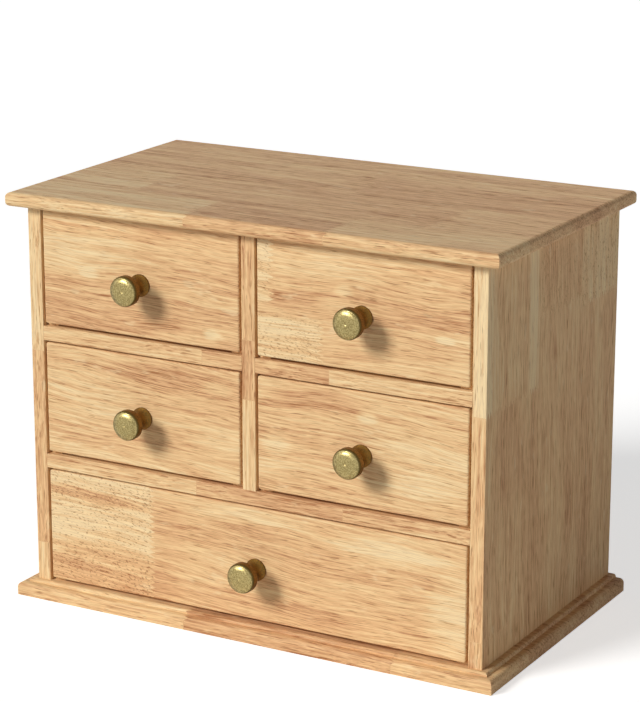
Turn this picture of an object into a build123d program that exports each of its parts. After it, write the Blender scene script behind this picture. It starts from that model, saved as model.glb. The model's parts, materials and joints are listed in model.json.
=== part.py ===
from build123d import *
from math import radians, tan
import os

# Desktop chest with five drawers: two rows of two small drawers over one wide drawer.
# All sizes are in millimetres. +Z is up, the drawer fronts face -Y, and the origin is
# the centre of the base board's underside.

# ---------------------------------------------------------------- carcass sizes
carcass_width = 340.0  # outside faces of the two side panels
carcass_depth = 200.0  # front edges to rear edges of the side panels
upper_opening_height = 81.5
middle_opening_height = 80.0
bottom_opening_height = 81.5
side_thickness = 10.0
shelf_thickness = 10.0
divider_thickness = 10.0
board_arris = 0.5  # sanded front edges of the panels, shelves and divider

# Top and base board: how far they stand out past the carcass
side_overhang = 11.2
front_overhang = 9.5
back_overhang = 1.5
top_thickness = 9.5
top_upper_round = 3.2
top_lower_round = 2.8

# Base board, routed in two steps along the front and both ends
base_thickness = 11.5
base_step_height = 2.3
base_step_inset = 6.0
base_step_round = 2.0
base_edge_round = 3.2
base_lower_round = 0.5

# Back panel, let into a rebate along the rear inner edge of each side panel
back_thickness = 3.0
back_rebate_width = 5.0
back_clearance = 0.3

# ---------------------------------------------------------------- carcass fasteners
dowel_diameter = 6.0
dowel_in_face = 6.0  # depth in the face of a board
dowel_in_end = 16.0  # depth in the end of a board
dowel_spacing = 150.0  # between the two dowels of each joint
dowel_hole_play = 0.2  # added to the diameter of a dowel's hole
hole_relief = 0.5  # room left at the bottom of a blind hole

base_screw_diameter = 3.5
base_screw_length = 30.0
base_screw_spacing = 130.0
base_screw_head_diameter = 7.0
base_screw_head_angle = 90.0
base_screw_sink = 0.4  # how far the heads lie above the underside
base_screw_hole_play = 0.3
thread_play = 0.1  # added to the diameter of a hole that a screw cuts its thread in
screw_recess_width = 0.9
screw_recess_depth = 1.0

# ---------------------------------------------------------------- drawer sizes
drawer_side_gap = 1.7
drawer_top_gap = 1.2
drawer_front_lift = 2.2  # lower edge of a drawer front above the board below it
drawer_running_gap = 0.3  # lower edges of the drawer sides above the board below
drawer_stop_gap = 0.5  # closed drawer to the back panel
front_thickness = 10.0
front_lip = 4.0  # what is left of the front outside the rabbets
front_corner_round = 1.5
front_edge_round = 1.2
drawer_side_thickness = 8.0
drawer_side_drop = 4.0  # top edges of the sides below the top of the front
drawer_side_round = 1.0
drawer_back_thickness = 8.0
drawer_back_drop = 2.0
drawer_back_inset = 8.0  # ends of the sides past the back
housing_depth = 3.0  # groove across each side that holds the back
bottom_thickness = 3.0
bottom_height = 6.0  # lower edge of the sides to the bottom's groove
groove_depth = 4.0
joint_play = 0.2

# ---------------------------------------------------------------- knob sizes
knob_projection = 21.8
knob_head_diameter = 20.3
knob_head_thickness = 7.7
knob_face_diameter = 16.0
knob_face_dome = 0.6
knob_front_round = 2.2  # depth of the round between the face and the rim
knob_back_bevel = 1.3
knob_neck_hollow = 7.8  # radius of the hollow turned round the neck
knob_foot_diameter = 15.1
knob_foot_height = 1.0
knob_foot_bevel = 0.7
knob_drop = 3.7  # knob below the middle of the drawer front
small_knob_shift = 0.5  # knob to the right of the middle of a small drawer
wide_knob_shift = 4.8

knob_screw_diameter = 4.0
knob_screw_grip = 8.0  # length of thread inside the knob
knob_screw_head_diameter = 8.0
knob_screw_head_height = 2.4
knob_screw_head_bevel = 1.2
knob_screw_hole_play = 0.4
knob_bore_relief = 1.0

# ---------------------------------------------------------------- derived places
side_inner_x = carcass_width / 2 - side_thickness
side_centre_x = carcass_width / 2 - side_thickness / 2
front_y = front_overhang - (front_overhang + carcass_depth + back_overhang) / 2
rear_y = front_y + carcass_depth
centre_y = (front_y + rear_y) / 2
back_inner_y = rear_y - back_thickness

lower_shelf_z = base_thickness + bottom_opening_height
middle_floor_z = lower_shelf_z + shelf_thickness
upper_shelf_z = middle_floor_z + middle_opening_height
upper_floor_z = upper_shelf_z + shelf_thickness
carcass_top_z = upper_floor_z + upper_opening_height

board_width = carcass_width + 2 * side_overhang
board_depth = front_overhang + carcass_depth + back_overhang
shelf_depth = carcass_depth - back_thickness
shelf_centre_y = front_y + shelf_depth / 2
upper_shelf_length = side_inner_x - divider_thickness / 2
upper_shelf_centre_x = (side_inner_x + divider_thickness / 2) / 2
lower_shelf_middle_z = lower_shelf_z + shelf_thickness / 2
upper_shelf_middle_z = upper_shelf_z + shelf_thickness / 2

dowel_hole_radius = (dowel_diameter + dowel_hole_play) / 2
face_hole_depth = dowel_in_face + hole_relief
end_hole_depth = dowel_in_end + hole_relief

back_width = 2 * (side_inner_x + back_rebate_width - back_clearance)
back_height = carcass_top_z - base_thickness - 2 * back_clearance
back_centre_z = (base_thickness + carcass_top_z) / 2

base_screw_spread = tan(radians(base_screw_head_angle / 2))  # of the head's cone, per mm
base_screw_sink_radius = base_screw_head_diameter / 2 + base_screw_sink * base_screw_spread

front_inner_y = front_y + front_thickness
drawer_rear_y = back_inner_y - drawer_stop_gap
groove_height = bottom_thickness + joint_play
housing_width = drawer_back_thickness + joint_play
back_front_y = drawer_rear_y - drawer_back_inset - housing_width


def save(piece, label):
    piece.part.label = label
    export_step(piece.part, f"parts/{label}.step")


def routed_edges(piece, z):
    """The edges at height z along the front and both ends, without the one at the back."""
    return piece.edges().filter_by_position(Axis.Z, z, z).sort_by(Axis.Y)[:-1]


def front_edges(piece):
    """The long edges round the front face of a board."""
    return piece.faces().sort_by(Axis.Y)[0].edges()


# ---------------------------------------------------------------- carcass boards
def make_top_board():
    with BuildPart() as top_board:
        with BuildSketch(Plane.XY.offset(carcass_top_z)):
            Rectangle(board_width, board_depth)
        extrude(amount=top_thickness)
        fillet(top_board.faces().sort_by(Axis.Z)[-1].edges(), top_upper_round)
        fillet(routed_edges(top_board, carcass_top_z), top_lower_round)
        underside = Plane((0, centre_y, carcass_top_z), x_dir=(1, 0, 0), z_dir=(0, 0, -1))
        with Locations(underside):
            with GridLocations(side_centre_x, dowel_spacing, 3, 2):
                Hole(dowel_hole_radius, face_hole_depth)
    save(top_board, "top_board")


def make_base_board():
    step_z = base_thickness - base_step_height
    tier_depth = board_depth - base_step_inset
    with BuildPart() as base_board:
        with BuildSketch(Plane.XY):
            Rectangle(board_width, board_depth)
        extrude(amount=step_z)
        fillet(routed_edges(base_board, step_z), base_edge_round)
        fillet(routed_edges(base_board, 0), base_lower_round)
        with BuildSketch(Plane((0, base_step_inset / 2, step_z))):
            Rectangle(board_width - 2 * base_step_inset, tier_depth)
        extrude(amount=base_step_height)
        fillet(routed_edges(base_board, base_thickness), base_step_round)
        underside = Plane((0, centre_y, 0), x_dir=(1, 0, 0), z_dir=(0, 0, -1))
        with Locations(underside):
            with GridLocations(2 * side_centre_x, base_screw_spacing, 2, 2):
                CounterSinkHole(
                    radius=(base_screw_diameter + base_screw_hole_play) / 2,
                    counter_sink_radius=base_screw_sink_radius,
                    depth=base_thickness,
                    counter_sink_angle=base_screw_head_angle,
                )
    save(base_board, "base_board")


def make_side_panels():
    """The left panel, with the back panel's rebate, and the right one as its mirror image."""
    outer_x = -carcass_width / 2
    with BuildPart() as left_side_panel:
        with BuildSketch(Plane.XY.offset(base_thickness)):
            with BuildLine():
                Polyline(
                    (outer_x, front_y),
                    (-side_inner_x, front_y),
                    (-side_inner_x, back_inner_y),
                    (-side_inner_x - back_rebate_width, back_inner_y),
                    (-side_inner_x - back_rebate_width, rear_y),
                    (outer_x, rear_y),
                    close=True,
                )
            make_face()
        extrude(amount=carcass_top_z - base_thickness)
        fillet(front_edges(left_side_panel).filter_by(Axis.Z), board_arris)
        with Locations(Plane((-side_centre_x, centre_y, carcass_top_z))):
            with GridLocations(0, dowel_spacing, 1, 2):
                Hole(dowel_hole_radius, end_hole_depth)
        foot = Plane(
            (-side_centre_x, centre_y, base_thickness), x_dir=(1, 0, 0), z_dir=(0, 0, -1)
        )
        with Locations(foot):
            with GridLocations(0, base_screw_spacing, 1, 2):
                Hole(
                    (base_screw_diameter + thread_play) / 2,
                    base_screw_length + base_screw_sink - base_thickness + hole_relief,
                )
        for z in (lower_shelf_middle_z, upper_shelf_middle_z):
            inner_face = Plane((-side_inner_x, centre_y, z), x_dir=(0, 1, 0), z_dir=(1, 0, 0))
            with Locations(inner_face):
                with GridLocations(dowel_spacing, 0, 2, 1):
                    Hole(dowel_hole_radius, face_hole_depth)
    with BuildPart() as right_side_panel:
        mirror(left_side_panel.part, about=Plane.YZ)
    save(left_side_panel, "left_side_panel")
    save(right_side_panel, "right_side_panel")


def make_lower_shelf():
    with BuildPart() as lower_shelf:
        with BuildSketch(Plane((0, shelf_centre_y, lower_shelf_z))):
            Rectangle(2 * side_inner_x, shelf_depth)
        extrude(amount=shelf_thickness)
        fillet(front_edges(lower_shelf).filter_by(Axis.X), board_arris)
        for x_sign in (-1, 1):
            end = Plane(
                (x_sign * side_inner_x, centre_y, lower_shelf_middle_z),
                x_dir=(0, 1, 0),
                z_dir=(x_sign, 0, 0),
            )
            with Locations(end):
                with GridLocations(dowel_spacing, 0, 2, 1):
                    Hole(dowel_hole_radius, end_hole_depth)
        with Locations(Plane((0, centre_y, middle_floor_z))):
            with GridLocations(0, dowel_spacing, 1, 2):
                Hole(dowel_hole_radius, face_hole_depth)
    save(lower_shelf, "lower_shelf")


def make_upper_shelves():
    """The left shelf of the upper row, and the right one as its mirror image."""
    with BuildPart() as upper_left_shelf:
        with BuildSketch(Plane((-upper_shelf_centre_x, shelf_centre_y, upper_shelf_z))):
            Rectangle(upper_shelf_length, shelf_depth)
        extrude(amount=shelf_thickness)
        fillet(front_edges(upper_left_shelf).filter_by(Axis.X), board_arris)
        ends = {-side_inner_x: -1, -divider_thickness / 2: 1}
        for x, x_sign in ends.items():
            end = Plane((x, centre_y, upper_shelf_middle_z), x_dir=(0, 1, 0), z_dir=(x_sign, 0, 0))
            with Locations(end):
                with GridLocations(dowel_spacing, 0, 2, 1):
                    Hole(dowel_hole_radius, end_hole_depth)
    with BuildPart() as upper_right_shelf:
        mirror(upper_left_shelf.part, about=Plane.YZ)
    save(upper_left_shelf, "upper_left_shelf")
    save(upper_right_shelf, "upper_right_shelf")


def make_centre_divider():
    """The upright between the small drawers, standing on the lower shelf."""
    with BuildPart() as centre_divider:
        with BuildSketch(Plane((0, shelf_centre_y, middle_floor_z))):
            Rectangle(divider_thickness, shelf_depth)
        extrude(amount=carcass_top_z - middle_floor_z)
        fillet(front_edges(centre_divider).filter_by(Axis.Z), board_arris)
        with Locations(Plane((0, centre_y, carcass_top_z))):
            with GridLocations(0, dowel_spacing, 1, 2):
                Hole(dowel_hole_radius, end_hole_depth)
        foot = Plane((0, centre_y, middle_floor_z), x_dir=(1, 0, 0), z_dir=(0, 0, -1))
        with Locations(foot):
            with GridLocations(0, dowel_spacing, 1, 2):
                Hole(dowel_hole_radius, end_hole_depth)
        cheek = Plane(
            (divider_thickness / 2, centre_y, upper_shelf_middle_z),
            x_dir=(0, 1, 0),
            z_dir=(1, 0, 0),
        )
        with Locations(cheek):
            with GridLocations(dowel_spacing, 0, 2, 1):
                Hole(dowel_hole_radius, divider_thickness)
    save(centre_divider, "centre_divider")


def make_back_panel():
    inner_face = Plane((0, back_inner_y, back_centre_z), x_dir=(1, 0, 0), z_dir=(0, 1, 0))
    with BuildPart() as back_panel:
        with BuildSketch(inner_face):
            Rectangle(back_width, back_height)
        extrude(amount=back_thickness)
    save(back_panel, "back_panel")


# ---------------------------------------------------------------- carcass fasteners
def dowel_of(length):
    """A dowel that runs down from the origin."""
    with BuildPart() as dowel:
        with BuildSketch():
            Circle(dowel_diameter / 2)
        extrude(amount=-length)
    return dowel.part


def joint_dowel_planes():
    """Ends of the dowels that go a little into one board's face and far into another's end."""
    planes = []
    for y in (centre_y - dowel_spacing / 2, centre_y + dowel_spacing / 2):
        for x in (-side_centre_x, 0, side_centre_x):
            planes.append(Plane((x, y, carcass_top_z + dowel_in_face)))
        planes.append(Plane((0, y, middle_floor_z + dowel_in_end)))
        for x_sign in (-1, 1):
            end_x = x_sign * (side_inner_x + dowel_in_face)
            for z in (lower_shelf_middle_z, upper_shelf_middle_z):
                planes.append(Plane((end_x, y, z), z_dir=(x_sign, 0, 0)))
    return planes


def make_carcass_dowels():
    joint_dowel = dowel_of(dowel_in_face + dowel_in_end)
    through_length = divider_thickness + 2 * dowel_in_end
    through_dowel = dowel_of(through_length)
    through_end = Plane((through_length / 2, centre_y, upper_shelf_middle_z), z_dir=(1, 0, 0))
    with BuildPart() as carcass_dowels:
        with Locations(*joint_dowel_planes()):
            add(joint_dowel)
        with Locations(through_end):
            with GridLocations(0, dowel_spacing, 1, 2):
                add(through_dowel)
    save(carcass_dowels, "carcass_dowels")


def make_base_screws():
    """Countersunk screws up through the base board into the side panels."""
    radius = base_screw_diameter / 2
    head_radius = base_screw_head_diameter / 2
    head_height = (head_radius - radius) / base_screw_spread
    with BuildPart() as screw:
        with BuildSketch(Plane.XZ):
            with BuildLine():
                Polyline(
                    (0, 0),
                    (head_radius, 0),
                    (radius, head_height),
                    (radius, base_screw_length - base_screw_diameter),
                    (0, base_screw_length),
                    close=True,
                )
            make_face()
        revolve(axis=Axis.Z)
        with BuildSketch():
            Rectangle(head_radius, screw_recess_width)
            Rectangle(screw_recess_width, head_radius)
        extrude(amount=screw_recess_depth, mode=Mode.SUBTRACT)
    with BuildPart() as base_screws:
        with Locations(Plane((0, centre_y, base_screw_sink))):
            with GridLocations(2 * side_centre_x, base_screw_spacing, 2, 2):
                add(screw.part)
    save(base_screws, "base_screws")


# ---------------------------------------------------------------- drawers
class Bay:
    """The opening that a drawer runs in, and the places that its drawer takes from it."""

    def __init__(self, left, right, floor, ceiling, knob_shift):
        self.left = left + drawer_side_gap
        self.right = right - drawer_side_gap
        self.width = self.right - self.left
        self.middle_x = (self.left + self.right) / 2
        self.inner_width = self.width - 2 * drawer_side_thickness
        self.front_bottom = floor + drawer_front_lift
        self.front_top = ceiling - drawer_top_gap
        self.front_middle_z = (self.front_bottom + self.front_top) / 2
        self.side_bottom = floor + drawer_running_gap
        self.side_top = self.front_top - drawer_side_drop
        self.back_top = self.side_top - drawer_back_drop
        self.groove_middle_z = self.side_bottom + bottom_height + groove_height / 2
        self.knob_x = self.middle_x + knob_shift
        self.knob_z = self.front_middle_z - knob_drop


def make_drawer_front(bay, name):
    """The front board: rounded outside, rabbeted at both ends and grooved for the bottom."""
    height = bay.front_top - bay.front_bottom
    inner_face = Plane(
        (bay.middle_x, front_inner_y, bay.front_middle_z), x_dir=(1, 0, 0), z_dir=(0, -1, 0)
    )
    rabbet_width = drawer_side_thickness + joint_play
    rabbet_centre = (bay.width - rabbet_width) / 2
    with BuildPart() as front:
        with BuildSketch(inner_face):
            RectangleRounded(bay.width, height, front_corner_round)
        extrude(amount=front_thickness)
        fillet(front_edges(front), front_edge_round)
        with BuildSketch(inner_face):
            with GridLocations(2 * rabbet_centre, 0, 2, 1):
                Rectangle(rabbet_width, height)
        extrude(amount=front_thickness - front_lip, mode=Mode.SUBTRACT)
        with BuildSketch(inner_face):
            with Locations((0, bay.groove_middle_z - bay.front_middle_z)):
                Rectangle(bay.width, groove_height)
        extrude(amount=groove_depth, mode=Mode.SUBTRACT)
        knob_seat = Plane((bay.knob_x, front_y, bay.knob_z), x_dir=(1, 0, 0), z_dir=(0, -1, 0))
        with Locations(knob_seat):
            Hole((knob_screw_diameter + knob_screw_hole_play) / 2, front_thickness)
    save(front, f"{name}_front")


def make_drawer_sides(bay, name):
    """The left side, grooved for the bottom and housed for the back, and its mirror image."""
    height = bay.side_top - bay.side_bottom
    section = Plane(
        (bay.left, front_y + front_lip, bay.side_bottom), x_dir=(1, 0, 0), z_dir=(0, -1, 0)
    )
    inner_x = bay.left + drawer_side_thickness
    with BuildPart() as left_side:
        with BuildSketch(section) as profile:
            Rectangle(drawer_side_thickness, height, align=(Align.MIN, Align.MIN))
            fillet(profile.vertices().group_by(Axis.Y)[-1], drawer_side_round)
            with Locations((drawer_side_thickness, bottom_height)):
                Rectangle(
                    groove_depth, groove_height, align=(Align.MAX, Align.MIN), mode=Mode.SUBTRACT
                )
        extrude(amount=front_y + front_lip - drawer_rear_y)
        with BuildSketch(Plane((inner_x, back_front_y, bay.side_bottom))):
            Rectangle(housing_depth, housing_width, align=(Align.MAX, Align.MIN))
        extrude(amount=height, mode=Mode.SUBTRACT)
    with BuildPart() as right_side:
        mirror(left_side.part, about=Plane.YZ.offset(bay.middle_x))
    save(left_side, f"{name}_left_side")
    save(right_side, f"{name}_right_side")


def make_drawer_back(bay, name):
    """The back board, held in the housings of the sides and grooved for the bottom."""
    length = bay.inner_width + 2 * housing_depth - joint_play
    height = bay.back_top - bay.side_bottom
    front_face = Plane(
        (bay.middle_x, back_front_y + joint_play / 2, bay.side_bottom),
        x_dir=(1, 0, 0),
        z_dir=(0, -1, 0),
    )
    with BuildPart() as back:
        with BuildSketch(front_face):
            Rectangle(length, height, align=(Align.CENTER, Align.MIN))
        extrude(amount=-drawer_back_thickness)
        with BuildSketch(front_face):
            with Locations((0, bottom_height)):
                Rectangle(length, groove_height, align=(Align.CENTER, Align.MIN))
        extrude(amount=-groove_depth, mode=Mode.SUBTRACT)
    save(back, f"{name}_back")


def make_drawer_bottom(bay, name):
    """The thin bottom, held in the grooves all round."""
    tongue = groove_depth - joint_play
    front_edge = front_inner_y - tongue
    rear_edge = back_front_y + tongue
    middle = Plane((bay.middle_x, (front_edge + rear_edge) / 2, bay.groove_middle_z))
    with BuildPart() as bottom:
        with BuildSketch(middle):
            Rectangle(bay.inner_width + 2 * tongue, rear_edge - front_edge)
        extrude(amount=bottom_thickness / 2, both=True)
    save(bottom, f"{name}_bottom")


def make_knob(bay, name):
    """The turned knob: a flared foot, a hollow neck and a thick round head with a low dome."""
    seat = (bay.knob_x, front_y, bay.knob_z)
    foot_radius = knob_foot_diameter / 2
    head_radius = knob_head_diameter / 2
    head_back = knob_projection - knob_head_thickness
    face_edge = knob_projection - knob_face_dome
    foot_rim = (foot_radius, knob_foot_height)
    foot_top = (foot_radius - knob_foot_bevel, knob_foot_height + knob_foot_bevel)
    under_head = (head_radius - knob_back_bevel, head_back)
    rim_back = (head_radius, head_back + knob_back_bevel)
    rim_front = (head_radius, face_edge - knob_front_round)
    face_rim = (knob_face_diameter / 2, face_edge)
    with BuildPart() as knob:
        with BuildSketch(Plane(seat, x_dir=(1, 0, 0), z_dir=(0, 0, -1))):
            with BuildLine():
                Polyline((0, knob_projection), (0, 0), (foot_radius, 0), foot_rim, foot_top)
                RadiusArc(foot_top, under_head, knob_neck_hollow)
                Polyline(under_head, rim_back, rim_front)
                TangentArc(rim_front, face_rim, tangent=(0, 1))
                TangentArc((0, knob_projection), face_rim, tangent=(1, 0))
            make_face()
        revolve(axis=Axis(seat, (0, -1, 0)))
        with Locations(Plane(seat, x_dir=(1, 0, 0), z_dir=(0, 1, 0))):
            Hole((knob_screw_diameter + thread_play) / 2, knob_screw_grip + knob_bore_relief)
    save(knob, f"{name}_knob")


def make_knob_screw(bay, name):
    """The pan-headed screw that holds the knob from inside the drawer."""
    seat = (bay.knob_x, front_inner_y, bay.knob_z)
    radius = knob_screw_diameter / 2
    head_radius = knob_screw_head_diameter / 2
    tip = -front_thickness - knob_screw_grip
    height = knob_screw_head_height
    with BuildPart() as knob_screw:
        with BuildSketch(Plane(seat, x_dir=(1, 0, 0), z_dir=(0, 0, 1))):
            with BuildLine():
                Polyline(
                    (0, height),
                    (0, tip),
                    (radius, tip),
                    (radius, 0),
                    (head_radius, 0),
                    (head_radius, height - knob_screw_head_bevel),
                    (head_radius - knob_screw_head_bevel, height),
                    close=True,
                )
            make_face()
        revolve(axis=Axis(seat, (0, 1, 0)))
        head_face = Plane(seat, x_dir=(1, 0, 0), z_dir=(0, 1, 0)).offset(height)
        with BuildSketch(head_face):
            Rectangle(head_radius, screw_recess_width)
            Rectangle(screw_recess_width, head_radius)
        extrude(amount=-screw_recess_depth, mode=Mode.SUBTRACT)
    save(knob_screw, f"{name}_knob_screw")


def make_drawer(bay, name):
    make_drawer_front(bay, name)
    make_drawer_sides(bay, name)
    make_drawer_back(bay, name)
    make_drawer_bottom(bay, name)
    make_knob(bay, name)
    make_knob_screw(bay, name)


# ---------------------------------------------------------------- the whole chest
os.makedirs("parts", exist_ok=True)

make_top_board()
make_base_board()
make_side_panels()
make_lower_shelf()
make_upper_shelves()
make_centre_divider()
make_back_panel()
make_carcass_dowels()
make_base_screws()

left_of_divider = (-side_inner_x, -divider_thickness / 2)
right_of_divider = (divider_thickness / 2, side_inner_x)
for row, floor, ceiling in (
    ("upper", upper_floor_z, carcass_top_z),
    ("middle", middle_floor_z, upper_shelf_z),
):
    make_drawer(Bay(*left_of_divider, floor, ceiling, small_knob_shift), f"{row}_left")
    make_drawer(Bay(*right_of_divider, floor, ceiling, small_knob_shift), f"{row}_right")
wide_bay = Bay(-side_inner_x, side_inner_x, base_thickness, lower_shelf_z, wide_knob_shift)
make_drawer(wide_bay, "bottom")
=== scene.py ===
# %% [markdown]
# A small desktop chest of drawers in pale, finger-jointed rubberwood with round brass knobs.
# The boards, drawers and knobs already have their real shape in the frame, so this lesson is
# about finish: what makes flat boards look like lacquered wood, and small turned knobs like
# aged brass. Every cell says what a thing is on the real chest, how it could be made, and why
# it is made this way.

# %% Load the frame
import json
import math

import bpy
from mathutils import Matrix, Vector

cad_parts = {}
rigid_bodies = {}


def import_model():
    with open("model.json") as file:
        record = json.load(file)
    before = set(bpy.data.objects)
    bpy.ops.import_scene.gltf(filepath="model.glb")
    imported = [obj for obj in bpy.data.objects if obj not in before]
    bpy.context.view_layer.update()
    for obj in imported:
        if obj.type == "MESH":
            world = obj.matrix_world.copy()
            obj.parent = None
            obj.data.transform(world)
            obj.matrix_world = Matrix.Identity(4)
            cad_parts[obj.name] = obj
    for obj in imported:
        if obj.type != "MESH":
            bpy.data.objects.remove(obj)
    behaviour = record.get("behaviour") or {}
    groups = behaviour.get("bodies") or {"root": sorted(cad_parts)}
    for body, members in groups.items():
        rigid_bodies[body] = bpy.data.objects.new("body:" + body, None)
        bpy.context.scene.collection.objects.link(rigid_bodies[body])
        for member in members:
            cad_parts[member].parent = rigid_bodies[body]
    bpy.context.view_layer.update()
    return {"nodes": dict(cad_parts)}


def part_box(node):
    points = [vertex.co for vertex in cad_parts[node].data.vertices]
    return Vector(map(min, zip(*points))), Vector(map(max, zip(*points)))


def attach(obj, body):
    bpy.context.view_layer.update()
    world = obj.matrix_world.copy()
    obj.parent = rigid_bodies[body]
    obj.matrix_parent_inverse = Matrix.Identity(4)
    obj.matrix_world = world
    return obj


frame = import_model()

nodes = frame["nodes"]
print("boards, knobs and screws in the frame:", len(nodes))

# %% [markdown]
# Nothing may stay selected from the import, because an operator acts on all that is selected.
# Lengths are written in millimetres, as a joiner would, and turned into Blender's metres here.

# %% Units and selection
MM = 0.001


def select_nothing():
    """No object is selected or active afterwards."""
    for thing in bpy.data.objects:
        thing.select_set(False)
    bpy.context.view_layer.objects.active = None


select_nothing()
print("one millimetre in Blender's metres:", MM)

# %% [markdown]
# The camera stands to the right of the chest and looks a little down on it. It could be aimed
# with a tracking constraint, but a place and two angles say the same thing and can be read.
# The lens is long, so the chest's far corner is hardly smaller than the near one. Blender gives
# the 36 mm of the sensor to the picture's longer side, which is its height here.

# %% Camera
CAMERA_PLACE = Vector((835.75, -1489.13, 653.44)) * MM
CAMERA_YAW = 29.334  # degrees to the right of the drawer fronts
CAMERA_PITCH = 15.688  # degrees below the horizon
CAMERA_LENS = 134.8

camera_data = bpy.data.cameras.new("camera")
camera_data.sensor_fit = "AUTO"
camera_data.sensor_width = 36.0
camera_data.lens = CAMERA_LENS
camera = bpy.data.objects.new("camera", camera_data)
bpy.context.scene.collection.objects.link(camera)
camera.location = CAMERA_PLACE
camera.rotation_euler = (math.radians(90 - CAMERA_PITCH), 0, math.radians(CAMERA_YAW))
bpy.context.scene.camera = camera
print("camera distance in metres:", round(camera.location.length, 3))

# %% [markdown]
# Materials are written as sums. A wire is one output socket, and Python's signs on wires add
# Math nodes behind the scenes, so a mask reads as it would on paper. All other nodes come from
# one method: it makes the node, sets its settings first, because some of them change which
# sockets there are, and then fills the sockets with numbers or links.

# %% Shader maths
class Wire:
    """One output socket of a node tree, on which arithmetic adds Math nodes."""

    def __init__(self, tree, socket):
        self.tree = tree
        self.socket = socket

    def node(self, kind, settings=None, sockets=None, output=0):
        """Adds a node with its settings and the values or links of its sockets."""
        made = self.tree.nodes.new(kind)
        for name, value in (settings or {}).items():
            if name == "stops":
                set_stops(made.color_ramp, value)
            else:
                setattr(made, name, value)
        for name, value in (sockets or {}).items():
            if isinstance(value, Wire):
                self.tree.links.new(value.socket, made.inputs[name])
            else:
                made.inputs[name].default_value = value
        return Wire(self.tree, made.outputs[output])

    def maths(self, operation, *values):
        """One Math node on the given values, which may be wires or numbers."""
        return self.node("ShaderNodeMath", {"operation": operation}, dict(enumerate(values)))

    def __add__(self, other):
        return self.maths("ADD", self, other)

    def __sub__(self, other):
        return self.maths("SUBTRACT", self, other)

    def __mul__(self, other):
        return self.maths("MULTIPLY", self, other)

    def __truediv__(self, other):
        return self.maths("DIVIDE", self, other)

    def __radd__(self, other):
        return self.maths("ADD", other, self)

    def __rsub__(self, other):
        return self.maths("SUBTRACT", other, self)

    def __rmul__(self, other):
        return self.maths("MULTIPLY", other, self)

    def rises(self, start, end):
        """0 below start, 1 above end, with a soft turn between them."""
        settings = {"interpolation_type": "SMOOTHSTEP"}
        sockets = {"Value": self, "From Min": start, "From Max": end}
        return self.node("ShaderNodeMapRange", settings, sockets)

    def vector(self, x, y, z):
        """Three wires as one vector."""
        return self.node("ShaderNodeCombineXYZ", None, {"X": x, "Y": y, "Z": z})

    def split(self):
        """The three parts of a vector."""
        separate = self.tree.nodes.new("ShaderNodeSeparateXYZ")
        self.tree.links.new(self.socket, separate.inputs[0])
        return [Wire(self.tree, part) for part in separate.outputs]

    def scaled(self, factor):
        """A vector made longer or shorter, which makes a pattern on it finer or coarser."""
        sockets = {0: self, "Scale": factor}
        return self.node("ShaderNodeVectorMath", {"operation": "SCALE"}, sockets)

    def noise(self, place, detail, roughness):
        """Soft random values round 0.5, with one blob about each unit of place."""
        sockets = {"Vector": place, "Scale": 1.0, "Detail": detail, "Roughness": roughness}
        return self.node("ShaderNodeTexNoise", None, sockets)

    def blend(self, first, second, amount):
        """Two colours mixed by a number from 0 to 1."""
        sockets = {0: amount, 6: first, 7: second}
        return self.node("ShaderNodeMix", {"data_type": "RGBA"}, sockets, output=2)


print("sums on wires that add Math nodes: +, -, * and /")

# %% [markdown]
# Every finish starts in the same way: an empty material with one shader, and the place of a point
# in millimetres. That place comes from the Object coordinates, which stay with a board when its
# drawer slides, so the grain slides with the wood. A finish could be put on face by face, but
# each board here is of one wood, so it goes on the whole node.

# %% Making and using a finish
def set_stops(ramp, stops):
    """A ramp's colours, given as pairs of place and colour."""
    while len(ramp.elements) > 1:
        ramp.elements.remove(ramp.elements[-1])
    for number, (place, colour) in enumerate(stops):
        stop = ramp.elements[0] if number == 0 else ramp.elements.new(place)
        stop.position = place
        stop.color = colour


def new_material(name):
    """An empty material, its shader, and its Object coordinates in millimetres."""
    material = bpy.data.materials.new(name)
    material.use_nodes = True
    tree = material.node_tree
    tree.nodes.clear()
    shader = tree.nodes.new("ShaderNodeBsdfPrincipled")
    output = tree.nodes.new("ShaderNodeOutputMaterial")
    tree.links.new(shader.outputs[0], output.inputs[0])
    coordinates = tree.nodes.new("ShaderNodeTexCoord")
    place = Wire(tree, coordinates.outputs["Object"]).scaled(1 / MM)
    return material, shader, place


def feed(shader, name, wire):
    """A wire goes into one socket of the shader."""
    wire.tree.links.new(wire.socket, shader.inputs[name])


def paint(node, material):
    """One frame node gets one material in all its slots."""
    mesh = nodes[node].data
    mesh.materials.clear()
    mesh.materials.append(material)


print("nodes that wait for a finish:", len(nodes))

# %% [markdown]
# A colour is easiest to choose as it looks on a screen, from 0 to 255, but a shader counts
# light, so each one is turned into linear values once, here. The wood runs from cream sapwood
# over tan to a rosy brown, and its pores are short brown dashes.

# %% Wood colours
def seen(red, green, blue):
    """A colour as seen on a screen, turned into linear light, with an opaque fourth value."""
    linear = []
    for value in (red, green, blue):
        share = value / 255
        linear.append(share / 12.92 if share <= 0.04045 else ((share + 0.055) / 1.055) ** 2.4)
    return (*linear, 1.0)


CREAM = seen(250, 226, 180)
STRAW = seen(243, 207, 155)
TAN = seen(235, 190, 140)
ROSE = seen(218, 166, 122)
UMBER = seen(196, 142, 98)
PORE = seen(144, 82, 42)
GLEAM = seen(255, 224, 172)  # a fibre that catches the light
WARMTH_STOPS = [(0.0, CREAM), (0.28, STRAW), (0.52, TAN), (0.78, ROSE), (1.0, UMBER)]
print("wood colours from cream to umber:", len(WARMTH_STOPS))

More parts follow.
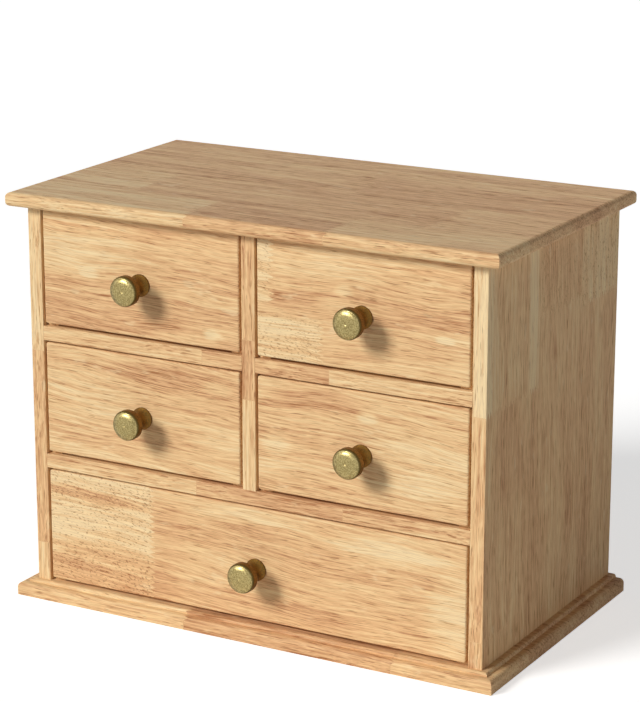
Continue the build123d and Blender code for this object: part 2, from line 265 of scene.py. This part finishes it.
# %% [markdown]
# Rubberwood boards are glued up from short lengths. Their ends are cut into fingers that lock
# into each other, so from the front each joint is a small zigzag, and colour and grain change
# there at once. A picture of wood would have to be stretched over every board. Here the grain is
# a solid pattern instead: it fills the block of wood, so on a rounded edge it turns into end
# grain by itself. Along the grain the pattern is long, across it fine.
#
# A board is told which way its grain runs, and which lengths it is glued up from. Each length is
# a box along and across the board with its own warmth, from cream at 0 to rosy at 1, and its own
# share of speckle, which is what pores look like where the saw cut them at a slant.

# %% The glued-up lengths of a board
FINGER_PITCH = 3.6
FINGER_LENGTH = 5.0
JOINT_SOFTNESS = 0.5  # over which two lengths meet at a finger
GLUE_LINE = 0.3  # over which two lengths meet side by side
SEED_STEP = 173.0  # how far each length's pattern is moved from the last one's


class Length:
    """One length of wood in a board: where it lies along and across, and how it looks."""

    def __init__(self, along, across, warmth, speckle=0.0, soft=GLUE_LINE):
        self.along = along
        self.across = across
        self.warmth = warmth
        self.speckle = speckle
        self.soft = soft

    def mask(self, zigzag, across, soft):
        """1 inside the length and 0 outside it, with a soft change at its long sides."""
        start = zigzag.rises(self.along[0], self.along[0] + JOINT_SOFTNESS)
        end = zigzag.rises(self.along[1], self.along[1] + JOINT_SOFTNESS)
        low = across.rises(self.across[0] - soft / 2, self.across[0] + soft / 2)
        high = across.rises(self.across[1] - soft / 2, self.across[1] + soft / 2)
        return (start - end) * (low - high)


class Patch:
    """A soft oval in a board that is paler or redder than the wood round it."""

    def __init__(self, centre, reach, warmth):
        self.centre = centre
        self.reach = reach
        self.warmth = warmth

    def change(self, along, across):
        """The warmth that the oval adds, which fades out towards its edge."""
        sideways = (along - self.centre[0]) / self.reach[0]
        upwards = (across - self.centre[1]) / self.reach[1]
        distance = sideways * sideways + upwards * upwards
        return (1.0 - distance.rises(0.0, 1.0)) * self.warmth


print("a finger joint's fingers, in millimetres:", FINGER_PITCH, "by", FINGER_LENGTH)

# %% [markdown]
# The grain itself is made in layers. Slow noise bends the lines and gives them a slope. Broad
# bands carry the colour from cream to rosy, and a board that has a pale or red place gets a soft
# oval there. Lines, and fibres finer than a millimetre, run in the bands. They make the wood both
# lighter and darker, because a fibre that the saw met end-on drinks more lacquer than its
# neighbour. Pores come last: noise drawn out along the grain and cut off high, so that only thin
# dashes stay, more of them where the wood is dark. The same pores press the bump in, and dull
# the lacquer.

# %% Layers of the grain
# For each layer: its pace along the grain and across it, its detail and its roughness.
LAYERS = {
    "slow": (0.006, 0.022, 2.0, 0.5),
    "ripple": (0.022, 0.09, 1.0, 0.5),
    "bands": (0.005, 0.06, 3.0, 0.6),
    "lines": (0.020, 0.60, 3.0, 0.65),
    "fibres": (0.07, 1.5, 2.0, 0.6),
    "dashes": (0.075, 1.50, 1.0, 0.5),
    "flecks": (0.06, 0.17, 2.0, 0.6),
}
SLOW_BEND = 18.0  # how far slow noise pushes the lines across the grain
RIPPLE_BEND = 3.0
BAND_STRENGTH = 1.0
LINE_STRENGTH = 1.5
SUNK_SHARE = 0.19  # how much of the pores' colour a sunk fibre takes
SHINING_SHARE = 0.28  # how much of the gleam a raised one takes
PORE_SHARE = 0.55
FLECK_SHARE = 0.5
FLECK_CUT = (0.62, 0.74)  # a layer is 0 below the first value and 1 above the second
FIBRE_CUT = (0.34, 0.66)
LONG_PORE_CUT = (0.60, 0.70)
SHORT_PORE_CUT = (0.57, 0.67)
LACQUER_GLOSS = 0.06  # a thin satin lacquer mirrors little, even at a flat angle
LACQUER_ROUGHNESS = 0.46
LACQUER_IOR = 1.45
PORE_DEPTH = 0.12
RELIEF_STRENGTH = 0.35
for layer, (pace_along, pace_across, _, _) in LAYERS.items():
    print(layer, "cells in millimetres:", round(1 / pace_along), "by", round(1 / pace_across, 1))

# %% [markdown]
# The layers come together in one function, which serves every board of the chest. It could be a
# node group with sockets for warmth and slope, but a function can also take a board's own list of
# lengths. Noise is 0.5 on average, so 0.5 is taken off wherever a layer should push both ways.

# %% Rubberwood
AXES = {"x": 0, "y": 1, "z": 2}


def rubberwood(
    name, along, across, lengths=(), patches=(), warmth=0.5, slope=0.0, seed=0, depth=1.0
):
    """Lacquered rubberwood with its grain along one axis of the chest."""
    material, shader, place = new_material(name)
    parts = place.split()
    through = ({"x", "y", "z"} - {along, across}).pop()
    g, w, t = (parts[AXES[axis]] for axis in (along, across, through))

    def drawn(layer):
        """A layer's noise, with long cells along the grain and fine ones across it."""
        pace_along, pace_across, detail, roughness = LAYERS[layer]
        cells = place.vector(g * pace_along, w * pace_across, t * pace_across)
        return place.noise(cells, detail, roughness)

    fold = w.maths("PINGPONG", w, FINGER_PITCH / 2)
    zigzag = g + (fold * (2 * FINGER_LENGTH / FINGER_PITCH) - FINGER_LENGTH / 2)
    tone, speckle, shift = warmth, 0.0, seed * SEED_STEP
    for number, length in enumerate(lengths):
        mask = length.mask(zigzag, w, length.soft)
        tone = tone + mask * (length.warmth - tone)
        speckle = speckle + mask * (length.speckle - speckle)
        shift = shift + length.mask(zigzag, w, GLUE_LINE) * (number + 1) * SEED_STEP

    straight, level = g, w
    g = g + shift
    w = w + shift
    bend = (drawn("slow") - 0.5) * SLOW_BEND + (drawn("ripple") - 0.5) * RIPPLE_BEND
    for patch in patches:
        tone = tone + patch.change(straight, level + bend)
    w = w + bend + g * slope

    bands, lines, fibres = drawn("bands"), drawn("lines"), drawn("fibres")
    dashes, flecks = drawn("dashes"), drawn("flecks")
    slanted = place.vector(g * 0.42 + w * 0.35, w * 0.95, t * 0.95)
    specks = place.noise(slanted, 1.0, 0.6)

    blush = tone + ((bands - 0.5) * BAND_STRENGTH + (lines - 0.5) * LINE_STRENGTH) * depth
    colour = place.node("ShaderNodeValToRGB", {"stops": WARMTH_STOPS}, {"Fac": blush})
    colour = place.blend(colour, CREAM, flecks.rises(*FLECK_CUT) * FLECK_SHARE)
    sunk = place.blend(colour, PORE, SUNK_SHARE * depth)
    shining = place.blend(colour, GLEAM, SHINING_SHARE * depth)
    colour = place.blend(sunk, shining, (fibres + (0.5 - lines) * 0.3).rises(*FIBRE_CUT))

    crowd = (lines - 0.5) * 0.45 + (bands - 0.5) * 0.3 + (tone - 0.5) * 0.1
    long_pores = (dashes + crowd).rises(*LONG_PORE_CUT)
    short_pores = (specks + crowd * 0.4).rises(*SHORT_PORE_CUT)
    pores = long_pores + speckle * (short_pores - long_pores * 0.5)
    colour = place.blend(colour, PORE, pores * PORE_SHARE)

    feed(shader, "Base Color", colour)
    feed(shader, "Roughness", LACQUER_ROUGHNESS + pores * 0.2 + (fibres - 0.5) * 0.15)
    relief = pores * -0.7 + (fibres - 0.5) * 0.5
    bump_sockets = {"Height": relief, "Strength": RELIEF_STRENGTH}
    bump_sockets["Distance"] = PORE_DEPTH * MM
    feed(shader, "Normal", place.node("ShaderNodeBump", None, bump_sockets))
    shader.inputs["IOR"].default_value = LACQUER_IOR
    shader.inputs["Specular IOR Level"].default_value = LACQUER_GLOSS
    print(name, "has", len(material.node_tree.nodes), "shader nodes")
    return material


# %% [markdown]
# The lying boards of the carcass: top, base and shelves. Their grain runs along the chest, and
# their front edges are what shows as the top's edge, the rails and the plinth. The lengths are
# laid out board by board, because a random layout would put the joints where the real ones aren't.

# %% Lying boards
FAR = 999.0  # past every board

top_wood = rubberwood(
    "top_wood", "x", "y",
    lengths=[
        Length((-FAR, -42), (-FAR, -60), 0.32),
        Length((-42, 60), (-FAR, -60), 0.66),
        Length((60, FAR), (-FAR, -60), 0.40),
        Length((-FAR, -110), (-60, 0), 0.38),
        Length((-110, 110), (-60, 0), 0.60),
        Length((20, FAR), (0, 55), 0.68),
    ],
    warmth=0.55, slope=0.03, seed=1,
)
paint("top_board", top_wood)

base_wood = rubberwood(
    "base_wood", "x", "y",
    lengths=[
        Length((-FAR, -46), (-FAR, -50), 0.40),
        Length((-46, 110), (-FAR, -50), 0.78),
        Length((110, FAR), (-FAR, -50), 0.42),
    ],
    warmth=0.6, slope=0.02, seed=2,
)
paint("base_board", base_wood)

upper_rail_wood = rubberwood(
    "upper_rail_wood", "x", "y",
    lengths=[
        Length((-FAR, -34.5), (-FAR, FAR), 0.38),
        Length((60, FAR), (-FAR, FAR), 0.30),
    ],
    warmth=0.62, slope=0.02, seed=3,
)
paint("upper_left_shelf", upper_rail_wood)
paint("upper_right_shelf", upper_rail_wood)

lower_rail_wood = rubberwood(
    "lower_rail_wood", "x", "y",
    lengths=[
        Length((-FAR, -40), (-FAR, FAR), 0.34),
        Length((70, FAR), (-FAR, FAR), 0.44),
    ],
    warmth=0.72, slope=0.02, seed=4,
)
paint("lower_shelf", lower_rail_wood)

# %% [markdown]
# The two side panels and the divider stand upright, so their grain does too. Only their front
# edges are seen from the front, and those edges have their own joints. The right panel is the
# largest surface in sight: it gets a pale streak, a redder place and two lengths at the top rear.

# %% Side panels and divider
left_panel_wood = rubberwood(
    "left_panel_wood", "z", "y",
    lengths=[
        Length((176, FAR), (-FAR, -40), 0.10),
        Length((-FAR, 39), (-FAR, -40), 0.32),
        Length((120, FAR), (-40, 30), 0.60),
    ],
    warmth=0.55, slope=0.01, seed=5,
)
paint("left_side_panel", left_panel_wood)

right_panel_wood = rubberwood(
    "right_panel_wood", "z", "y",
    lengths=[
        Length((178, FAR), (-FAR, -88), 0.05),
        Length((178, FAR), (-88, -20), 0.34),
        Length((-FAR, 30), (-FAR, -60), 0.45),
        Length((224, FAR), (-20, 45), 0.45, 0.5),
        Length((217, FAR), (45, FAR), 0.22, 0.8),
    ],
    patches=[Patch((240, -32), (110, 9), -0.30), Patch((150, -60), (50, 30), 0.15)],
    warmth=0.46, slope=0.01, seed=6,
)
paint("right_side_panel", right_panel_wood)

divider_wood = rubberwood(
    "divider_wood", "z", "y",
    lengths=[
        Length((205, FAR), (-FAR, FAR), 0.42),
        Length((-FAR, 165), (-FAR, FAR), 0.38),
    ],
    warmth=0.66, seed=7,
)
paint("centre_divider", divider_wood)

# %% [markdown]
# The drawer fronts, with their grain running across. The wide one starts with a pale length full
# of speckle, and the upper right one has two pale ends of different length. The pale ovals are
# sapwood, and the reddish ones are where the heart of the tree shows.

# %% Drawer fronts
front_woods = {
    "upper_left": rubberwood(
        "upper_left_front_wood", "x", "z",
        patches=[
            Patch((-145, 262), (80, 34), -0.26),
            Patch((-122, 237), (10, 5), -0.35),
            Patch((-105, 206), (75, 10), 0.22),
            Patch((-27, 204), (9, 5), -0.45),
        ],
        warmth=0.54, slope=0.035, seed=8,
    ),
    "upper_right": rubberwood(
        "upper_right_front_wood", "x", "z",
        lengths=[
            Length((-FAR, 17), (232, FAR), 0.16, 0.8, soft=9.0),
            Length((-FAR, 53), (-FAR, 224), 0.14, 0.8, soft=6.0),
        ],
        patches=[
            Patch((70, 262), (90, 14), -0.22),
            Patch((30, 238), (34, 8), 0.20),
            Patch((70, 246), (9, 5), -0.35),
            Patch((118, 232), (40, 10), 0.20),
            Patch((141, 223), (9, 4), -0.45),
        ],
        warmth=0.48, slope=0.03, seed=9,
    ),
    "middle_left": rubberwood(
        "middle_left_front_wood", "x", "z",
        patches=[
            Patch((-130, 150), (60, 30), -0.20),
            Patch((-55, 172), (60, 9), 0.22),
            Patch((-24, 169), (16, 6), -0.35),
            Patch((-90, 118), (80, 10), 0.15),
        ],
        warmth=0.44, slope=0.04, seed=10,
    ),
    "middle_right": rubberwood(
        "middle_right_front_wood", "x", "z",
        patches=[
            Patch((50, 171), (50, 10), 0.35),
            Patch((87, 164), (10, 5), -0.45),
            Patch((20, 137), (14, 12), -0.30),
            Patch((130, 140), (50, 30), -0.18),
        ],
        warmth=0.40, slope=0.025, seed=11,
    ),
    "bottom": rubberwood(
        "bottom_front_wood", "x", "z",
        lengths=[Length((-FAR, -76.3), (-FAR, FAR), 0.04, 1.0)],
        patches=[
            Patch((-125, 77), (60, 7), 0.50),
            Patch((-118, 18), (75, 40), 0.50),
            Patch((-62, 60), (16, 34), 0.10),
            Patch((100, 78), (60, 7), -0.40),
            Patch((150, 40), (26, 40), -0.36),
            Patch((20, 22), (90, 10), 0.22),
            Patch((-10, 84), (50, 6), -0.25),
        ],
        warmth=0.46, slope=0.04, seed=12,
    ),
}
for drawer, wood in front_woods.items():
    paint(f"{drawer}_front", wood)
print("drawer fronts finished:", len(front_woods))

# %% [markdown]
# Inside, the drawers are plainer. Sides and backs are pale boards, and the bottoms and the
# chest's back are thin boards with a wide, quiet figure. The same function serves, with less
# depth, because it is the same family of timber.

# %% Drawer boxes, thin boards and dowels
side_wood = rubberwood("drawer_side_wood", "y", "z", warmth=0.38, slope=0.03, seed=13, depth=0.6)
rear_wood = rubberwood("drawer_back_wood", "x", "z", warmth=0.40, slope=0.02, seed=14, depth=0.6)
thin_wood = rubberwood("thin_board_wood", "x", "y", warmth=0.50, slope=0.02, seed=15, depth=0.5)
back_wood = rubberwood("back_panel_wood", "z", "x", warmth=0.50, slope=0.02, seed=16, depth=0.5)
dowel_wood = rubberwood("dowel_wood", "z", "x", warmth=0.45, seed=17, depth=0.6)
for drawer in front_woods:
    paint(f"{drawer}_left_side", side_wood)
    paint(f"{drawer}_right_side", side_wood)
    paint(f"{drawer}_back", rear_wood)
    paint(f"{drawer}_bottom", thin_wood)
paint("back_panel", back_wood)
paint("carcass_dowels", dowel_wood)
print("boards inside the drawers finished:", 4 * len(front_woods))

# %% [markdown]
# The knobs are brass with a speckled tarnish, buffed bright on the face, which is the only place
# that the wheel and later the fingers reach. The face is a speckled olive gold. Behind it the
# colour holds painted reflection and painted shade: the shoulder is painted dark as if it mirrored
# dark surroundings, the rim brown-orange as if it mirrored the wood of the drawer front, and the
# hollow neck brown for its shade and the wood that it mirrors. One colour with noise would miss
# that. Each knob's finish measures how far a point is from the knob's own axis and from the drawer
# front, and picks its colour by that, so there is one finish to a knob.
#
# The speckle goes into colour and roughness together, and everything behind the face is left
# duller than the face. The buffing also rounds the edge of the face, which a bump can show.

# %% Aged brass
OLIVE = seen(140, 124, 78)
BRIGHT_OLIVE = seen(186, 169, 116)
DARK_COAT = seen(84, 68, 34)
# Painted reflection: the shoulder is painted dark, as if it mirrored dark surroundings.
SHOULDER_PAINTED_REFLECTION = seen(96, 80, 44)
# Painted reflection: the rim is painted brown-orange, as if it mirrored the wood of the drawer
# front.
RIM_PAINTED_REFLECTION = seen(140, 104, 54)
# Painted shade and reflection: the hollow neck is painted brown for its shade and for the wood
# that it mirrors.
NECK_PAINTED_SHADE_AND_REFLECTION = seen(128, 92, 42)
FACE_ROUND = 5.6  # radius past which the buffing rounds the face off
FACE_FALL = 0.09  # how fast it falls off past that radius
FRONT_Y = -96.0  # the face of every drawer front
# The three places below, from the drawer front, are where one painted colour turns into the next:
# neck to rim, rim to shoulder, shoulder to face.
NECK_TO_RIM = (13.0, 15.5)  # from the drawer front, where one coat turns into the next
RIM_TO_SHOULDER = (18.6, 19.8)
SHOULDER_TO_FACE = (20.3, 21.1)
SPECKLE_FINENESS = 1.25
CLOUD_FINENESS = 0.3
SPECKLE_DEPTH = 0.06
FACE_CUT = (0.36, 0.64)
DARK_CUT = (0.42, 0.62)
CLOUD_CUT = (0.5, 0.8)
DARK_SHARE = 0.75
CLOUD_SHARE = 0.25
COAT_ROUGHNESS = 0.44
BUFFING_GAIN = 0.08  # how much smoother the wheel leaves the face


def aged_brass(name, centre):
    """The finish of the knob whose axis goes through this x and z, in millimetres."""
    material, shader, place = new_material(name)
    x, y, z = place.split()
    sideways, upwards = x - centre[0], z - centre[1]
    square = sideways * sideways + upwards * upwards
    radius = square.maths("SQRT", square)
    out = FRONT_Y - y

    speckle = place.noise(place.scaled(SPECKLE_FINENESS), 2.0, 0.6)
    cloud = place.noise(place.scaled(CLOUD_FINENESS), 2.0, 0.5)

    face = place.blend(OLIVE, BRIGHT_OLIVE, speckle.rises(*FACE_CUT))
    # Painted reflection and painted shade behind the face, chosen by distance from the drawer
    # front, with real dark tarnish speckled over them.
    painted_reflection_and_tarnish = place.blend(NECK_PAINTED_SHADE_AND_REFLECTION, RIM_PAINTED_REFLECTION, out.rises(*NECK_TO_RIM))
    painted_reflection_and_tarnish = place.blend(painted_reflection_and_tarnish, SHOULDER_PAINTED_REFLECTION, out.rises(*RIM_TO_SHOULDER))
    painted_reflection_and_tarnish = place.blend(painted_reflection_and_tarnish, DARK_COAT, (1.0 - speckle).rises(*DARK_CUT) * DARK_SHARE)
    # The face keeps its own speckled olive gold; the rest keeps the painted reflections and shade.
    face_share = out.rises(*SHOULDER_TO_FACE)
    colour = place.blend(painted_reflection_and_tarnish, face, face_share)
    colour = place.blend(colour, DARK_COAT, cloud.rises(*CLOUD_CUT) * CLOUD_SHARE)
    feed(shader, "Base Color", colour)
    feed(shader, "Roughness", COAT_ROUGHNESS - face_share * BUFFING_GAIN + (speckle - 0.5) * 0.25)

    past = radius.maths("MAXIMUM", radius - FACE_ROUND, 0.0)
    rounding = past * past * -FACE_FALL * face_share
    round_sockets = {"Height": rounding * MM, "Strength": 1.0, "Distance": 1.0}
    rounded = place.node("ShaderNodeBump", None, round_sockets)
    bump_sockets = {"Height": speckle, "Strength": 0.3, "Distance": SPECKLE_DEPTH * MM}
    bump_sockets["Normal"] = rounded
    feed(shader, "Normal", place.node("ShaderNodeBump", None, bump_sockets))
    shader.inputs["Metallic"].default_value = 1.0
    return material


for drawer in front_woods:
    low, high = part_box(f"{drawer}_knob")
    knob_axis = ((low[0] + high[0]) / 2 / MM, (low[2] + high[2]) / 2 / MM)
    paint(f"{drawer}_knob", aged_brass(f"{drawer}_brass", knob_axis))
    print(drawer, "knob axis at", [round(value, 1) for value in knob_axis])

# %% [markdown]
# Screws and nails are steel with a thin bright plating, which goes hazy where it was handled. They
# are small and mostly hidden, so a haze in colour and roughness is enough.

# %% Plated steel
BRIGHT_PLATING = seen(205, 203, 198)
HAZY_PLATING = seen(176, 172, 165)
HAZE_FINENESS = 1.2


def plated_steel(name):
    """Bright plating with a cloudy haze on it."""
    material, shader, place = new_material(name)
    haze = place.noise(place.scaled(HAZE_FINENESS), 3.0, 0.6)
    colour = place.blend(BRIGHT_PLATING, HAZY_PLATING, haze)
    feed(shader, "Base Color", colour)
    feed(shader, "Roughness", 0.25 + haze * 0.25)
    shader.inputs["Metallic"].default_value = 1.0
    return material


screw_steel = plated_steel("plated_steel")
paint("base_screws", screw_steel)
for drawer in front_woods:
    paint(f"{drawer}_knob_screw", screw_steel)
print("screws finished:", 1 + len(front_woods), "nodes")

# %% [markdown]
# Nail heads and the ends of wooden pins are both low discs with a soft edge and a slight dish in
# the middle, where the hammer met them. A plain cylinder's edge would catch no light. Here a
# cylinder's outer face gets a bevelled rim, and is then inset and pressed in. It is shaped lying
# on its back, where the outer face is the one that looks up, and turned last, in its mesh.

# %% A small dished disc
DISC_SIDES = 20
RIM_BEVEL = 0.25  # of the height
DISH_INSET = 0.35  # of the radius
DISH_DEPTH = 0.15  # of the height
SMOOTH_BELOW = math.radians(35)


def small_disc(name, radius, height, direction):
    """A disc at the origin with a bevelled rim and a dished face that looks along direction."""
    select_nothing()
    size = {"radius": radius * MM, "depth": height * MM}
    bpy.ops.mesh.primitive_cylinder_add(vertices=DISC_SIDES, **size)
    disc = bpy.context.object
    disc.name = name
    bpy.ops.object.mode_set(mode="EDIT")
    bpy.ops.mesh.select_all(action="DESELECT")
    bpy.ops.object.mode_set(mode="OBJECT")
    for face in disc.data.polygons:
        face.select = face.normal.z > 0.9
    bpy.ops.object.mode_set(mode="EDIT")
    bpy.ops.mesh.bevel(offset=RIM_BEVEL * height * MM, segments=2)
    bpy.ops.mesh.select_all(action="DESELECT")
    bpy.ops.object.mode_set(mode="OBJECT")
    for face in disc.data.polygons:
        face.select = face.normal.z > 0.99 and face.area > (radius * MM) ** 2
    bpy.ops.object.mode_set(mode="EDIT")
    bpy.ops.mesh.inset(thickness=DISH_INSET * radius * MM)
    bpy.ops.transform.translate(value=(0, 0, -DISH_DEPTH * height * MM))
    bpy.ops.object.mode_set(mode="OBJECT")
    disc.data.transform(Vector(direction).to_track_quat("Z", "Y").to_matrix().to_4x4())
    bpy.ops.object.shade_smooth_by_angle(angle=SMOOTH_BELOW)
    return disc


print("sides of a small disc:", DISC_SIDES)

# %% [markdown]
# One disc is modelled and the others are copies of it. Each copy has a mesh of its own, and its
# place is in that mesh, so that every object stays at the origin as the frame's nodes do. A
# linked copy would be lighter, but its place would have to be on the object.

# %% Copies in their places
def set_copies(first, places, label):
    """A piece and its copies, moved to places given in millimetres, and numbered."""
    pieces = [first]
    for _ in places[1:]:
        piece = first.copy()
        piece.data = first.data.copy()
        bpy.context.scene.collection.objects.link(piece)
        pieces.append(piece)
    for number, (piece, place) in enumerate(zip(pieces, places)):
        piece.data.transform(Matrix.Translation(Vector(place) * MM))
        piece.name = f"{label}_{number + 1:02d}"
    return pieces


print("copies are numbered from 01")

# %% [markdown]
# The thin back is held in its rebates by twelve nails with flat heads, four down each side and
# two more along its top and along its bottom. They could be set out by hand, but here the places
# are worked out from the back's own box, so they keep their distance from its edge at any size.

# %% Nails in the back
HEAD_RADIUS = 2.3
HEAD_HEIGHT = 0.8
NAIL_INSET = 4.0  # from the edge of the back to the middle of a nail
SIDE_SHARES = (0.02, 0.34, 0.66, 0.98)  # up the back
END_SHARES = (1 / 3, 2 / 3)  # along the back

back_low, back_high = (Vector(corner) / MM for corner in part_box("back_panel"))
left, right = back_low.x + NAIL_INSET, back_high.x - NAIL_INSET
bottom, top = back_low.z + NAIL_INSET, back_high.z - NAIL_INSET
nail_places = []
for share in SIDE_SHARES:
    nail_z = bottom + share * (top - bottom)
    nail_places += [(left, nail_z), (right, nail_z)]
for share in END_SHARES:
    along_back = left + share * (right - left)
    nail_places += [(along_back, bottom), (along_back, top)]

head_y = back_high.y + HEAD_HEIGHT / 2
nail = small_disc("back_nail", HEAD_RADIUS, HEAD_HEIGHT, (0, 1, 0))
nail.data.materials.append(screw_steel)
nails = set_copies(nail, [(x, head_y, z) for x, z in nail_places], "back_nail")
for piece in nails:
    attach(piece, "cabinet")
print("nails in the back:", len(nails), "up to y =", round(head_y + HEAD_HEIGHT / 2, 1))

# %% [markdown]
# Each drawer's sides are pinned to its front and back with thin wooden pins, whose ends show as
# small round dots once the drawer is pulled out. The same disc serves, sunk so far that only a
# quarter of a millimetre stands out, because a sanded pin is nearly flush. Its grain is end
# grain, so it is darker than the board round it.

# %% Pins in the drawer sides
PIN_RADIUS = 2.0
PIN_HEIGHT = 1.0
PIN_PROUD = 0.25
PIN_FROM_END = 6.0
PIN_SHARES = (0.25, 0.75)  # up a drawer side

pin_wood = rubberwood("pin_end_wood", "x", "z", warmth=0.80, seed=18, depth=0.8)
pins = []
for drawer in front_woods:
    for side, outward in (("left", -1), ("right", 1)):
        low, high = (Vector(corner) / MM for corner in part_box(f"{drawer}_{side}_side"))
        outer_x = low.x if outward < 0 else high.x
        pin_x = outer_x + outward * (PIN_PROUD - PIN_HEIGHT / 2)
        tall = high.z - low.z
        spots = [
            (pin_x, y, low.z + share * tall)
            for y in (low.y + PIN_FROM_END, high.y - PIN_FROM_END)
            for share in PIN_SHARES
        ]
        pin = small_disc("pin", PIN_RADIUS, PIN_HEIGHT, (outward, 0, 0))
        pin.data.materials.append(pin_wood)
        for piece in set_copies(pin, spots, f"{drawer}_{side}_pin"):
            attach(piece, f"{drawer}_drawer")
            pins.append(piece)
print("pins in the drawer sides:", len(pins))

# %% [markdown]
# The studio: a pale floor, one soft lamp high at the front left, and a pale surrounding
# that fills the shadows. The lamp could be an area light, but a sun with a wide angle throws the
# same soft shadow and lights the whole floor evenly, so the floor stays white to its edge. What
# the camera and shiny things see of floor and sky is white, while the light that they give the
# chest stays plain.

# %% Floor
FLOOR_SIZE = 14.0
FLOOR_GREY = 0.80
FLOOR_GLOW = 0.62

bpy.ops.mesh.primitive_plane_add(size=FLOOR_SIZE, location=(0, 0, 0))
floor = bpy.context.object
floor.name = "floor"


def white_for_looking(wire):
    """1 for what the camera, a mirror or glass sees directly, and 0 for plain light."""
    path = wire.tree.nodes.new("ShaderNodeLightPath")
    kinds = ("Camera", "Glossy", "Transmission")
    rays = [Wire(wire.tree, path.outputs[f"Is {kind} Ray"]) for kind in kinds]
    return rays[0].maths("MAXIMUM", rays[0], rays[1].maths("MAXIMUM", rays[1], rays[2]))


floor_material, floor_shader, floor_place = new_material("floor")
floor_shader.inputs["Base Color"].default_value = (FLOOR_GREY, FLOOR_GREY, FLOOR_GREY, 1.0)
floor_shader.inputs["Roughness"].default_value = 1.0
floor_shader.inputs["Specular IOR Level"].default_value = 0.0
floor_shader.inputs["Emission Strength"].default_value = 1.0
glow = white_for_looking(floor_place) * FLOOR_GLOW
feed(floor_shader, "Emission Color", floor_place.vector(glow, glow, glow))
floor.data.materials.append(floor_material)
print("floor in metres:", FLOOR_SIZE, "square")

# %% [markdown]
# The sky is bright near the horizon and almost dark overhead. So the upright boards are filled
# with light, and the top, which looks straight up, stays quieter than the fronts, as it is in a
# studio with pale walls and no lamp above. An even sky would make the top the brightest board.

# %% Sky
SKY_LOW = (0.66, 0.66, 0.66, 1.0)
SKY_HIGH = (0.03, 0.03, 0.03, 1.0)
SKY_WHITE = (1.0, 1.0, 1.0, 1.0)
SKY_FADE = (0.05, 0.5)  # between which heights the sky goes from bright to dark

world = bpy.data.worlds.new("studio")
bpy.context.scene.world = world
world.use_nodes = True
sky_tree = world.node_tree
sky_tree.nodes.clear()
sky_place = Wire(sky_tree, sky_tree.nodes.new("ShaderNodeTexCoord").outputs["Generated"])
overhead = sky_place.split()[2].rises(*SKY_FADE)
plain_sky = sky_place.blend(SKY_LOW, SKY_HIGH, overhead)
sky_colour = sky_place.blend(plain_sky, SKY_WHITE, white_for_looking(sky_place))
background = sky_tree.nodes.new("ShaderNodeBackground")
sky_tree.links.new(sky_colour.socket, background.inputs["Color"])
sky_output = sky_tree.nodes.new("ShaderNodeOutputWorld")
sky_tree.links.new(background.outputs[0], sky_output.inputs[0])
print("nodes in the sky:", len(sky_tree.nodes))

# %% [markdown]
# The one lamp stands where the knobs' shadows say: to the left, in front and above. Its direction
# is written as an arrow from the chest to the lamp, because that is how a shadow is read.

# %% Lamp
KEY_DIRECTION = Vector((-0.41, -0.745, 0.525))  # from the chest towards the lamp
KEY_STRENGTH = 2.55
KEY_ANGLE = 20.0  # degrees across, which sets how soft the shadows are
KEY_COLOUR = (1.0, 0.985, 0.96)

key_data = bpy.data.lights.new("key", "SUN")
key_data.energy = KEY_STRENGTH
key_data.angle = math.radians(KEY_ANGLE)
key_data.color = KEY_COLOUR
key = bpy.data.objects.new("key", key_data)
bpy.context.scene.collection.objects.link(key)
key.rotation_euler = KEY_DIRECTION.to_track_quat("Z", "Y").to_euler()
key_height = math.degrees(math.asin(KEY_DIRECTION.normalized().z))
print("lamp height above the horizon in degrees:", round(key_height))

# %% [markdown]
# The colours were chosen as they look on a screen, so the picture is shown without a film look.

# %% Finish
bpy.context.scene.view_settings.view_transform = "Standard"
